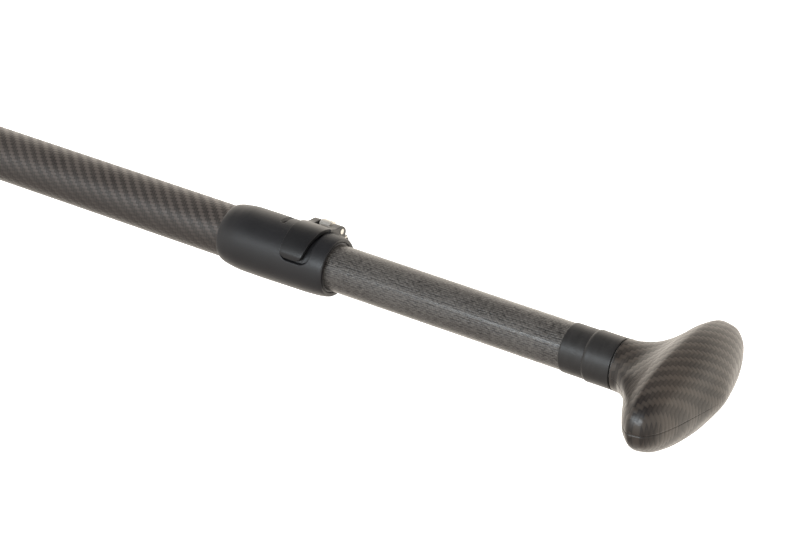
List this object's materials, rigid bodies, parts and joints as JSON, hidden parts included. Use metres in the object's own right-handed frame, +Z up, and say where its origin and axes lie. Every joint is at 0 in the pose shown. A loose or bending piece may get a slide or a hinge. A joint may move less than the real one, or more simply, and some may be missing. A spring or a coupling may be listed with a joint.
{
  "type": "adjustable stand-up paddle",
  "caption": "Telescoping carbon paddle with a teardrop blade, a cam-lever clamp collar and a mushroom-shaped palm grip.",
  "frame": {"origin": "on the floor under the middle of the paddle's length and of its blade's width, as it lies with the blade's face up", "axes": "+X along the shaft from the blade to the grip, +Y across the blade and the grip, +Z up from the floor"},
  "size_m": [1.8, 0.2008, 0.0715],
  "materials": {
    "core_foam": "matte closed-cell foam",
    "blade_carbon": "clear-coated carbon twill",
    "edge_plastic": "satin moulded edge",
    "lower_carbon": "satin carbon twill",
    "upper_carbon": "semi-gloss carbon weave",
    "grip_carbon": "semi-gloss clear-coated carbon twill",
    "collar_plastic": "fine-textured matte black",
    "lever_plastic": "smooth satin black",
    "liner_plastic": "satin dark grey",
    "tape": "satin black tape",
    "steel": "brushed stainless steel"
  },
  "bodies": {
    "root": {"blade_foam_core": "core_foam", "blade_face_skin": "blade_carbon", "blade_back_skin": "blade_carbon", "blade_edge_rail": "edge_plastic", "blade_neck": "blade_carbon", "lower_shaft": "lower_carbon", "shaft_bung": "core_foam", "clamp_collar": "collar_plastic", "clamp_liner": "liner_plastic", "cam_wear_plate": "steel", "screw_washer": "steel", "barrel_nut": "steel"},
    "lever": {"cam_lever": "lever_plastic", "lever_pivot_pin": "steel"},
    "screw": {"tension_screw": "steel"},
    "slider": {"guide_ring": "liner_plastic"},
    "handle": {"upper_shaft": "upper_carbon", "guide_plug": "liner_plastic", "joint_tape_inner": "tape", "joint_tape_outer": "tape", "grip_shell_upper": "grip_carbon", "grip_shell_lower": "grip_carbon", "grip_core": "core_foam", "grip_insert": "liner_plastic"}
  },
  "joints": [
    {"name": "length_slide", "type": "slide", "parent": "root", "child": "slider", "axis": [1, 0, 0], "range_m": [-0.135, 0.28]},
    {"name": "handle_turn", "type": "hinge", "parent": "slider", "child": "handle", "pos_m": [0.2608, 0, 0.0472], "axis": [1, 0, 0], "continuous": true},
    {"name": "lever_swing", "type": "hinge", "parent": "root", "child": "lever", "pos_m": [0.6511, 0.01635, 0.059], "axis": [-1, 0, 0], "range_deg": [0, 150]},
    {"name": "tension_screw_turn", "type": "hinge", "parent": "root", "child": "screw", "pos_m": [0.6511, 0.01919, 0.04113], "axis": [0, -0.1564, 0.9877], "continuous": true}
  ]
}
